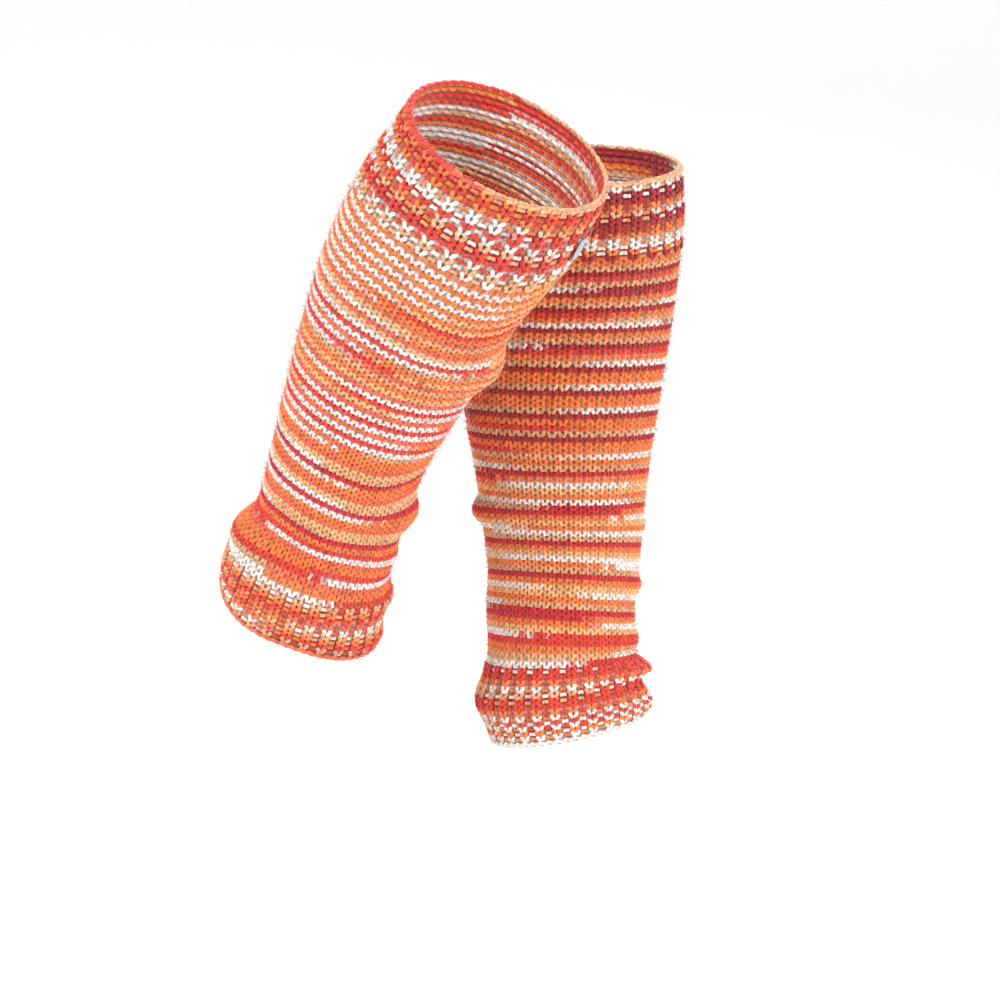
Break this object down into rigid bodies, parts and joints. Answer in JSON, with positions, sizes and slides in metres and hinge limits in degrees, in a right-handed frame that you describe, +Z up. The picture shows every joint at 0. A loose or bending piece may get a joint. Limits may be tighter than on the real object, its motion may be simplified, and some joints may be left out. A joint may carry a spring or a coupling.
{
  "type": "pair of leg warmers",
  "caption": "Striped knitted leg warmers in their hollow worn form: slouched wool tubes with ribbed cuffs, open at both ends, an upright leg beside a leaning one with its heel raised.",
  "frame": {"origin": "middle of the upright leg warmer's top opening, where the wearer's calf holds it up", "axes": "+Z up, +X to the front of both legs, +Y from the bent leg warmer to the upright one"},
  "size_m": [0.3063, 0.3221, 0.4509],
  "materials": {
    "ribbed_wool": "1 x 1 rib in space-dyed wool yarn, orange, red, tan and white, soft and slightly hairy",
    "plain_wool": "stockinette in space-dyed wool yarn, thin stripes of orange, red, apricot, tan and white",
    "woven_label": "bare silvery-grey woven tape, slightly glossy"
  },
  "bodies": {
    "root": {"upright_top_cuff": "ribbed_wool", "upright_leg": "plain_wool", "upright_ankle_cuff": "ribbed_wool", "bent_top_cuff": "ribbed_wool", "bent_leg": "plain_wool", "bent_ankle_cuff": "ribbed_wool", "bent_label": "woven_label"}
  },
  "joints": []
}
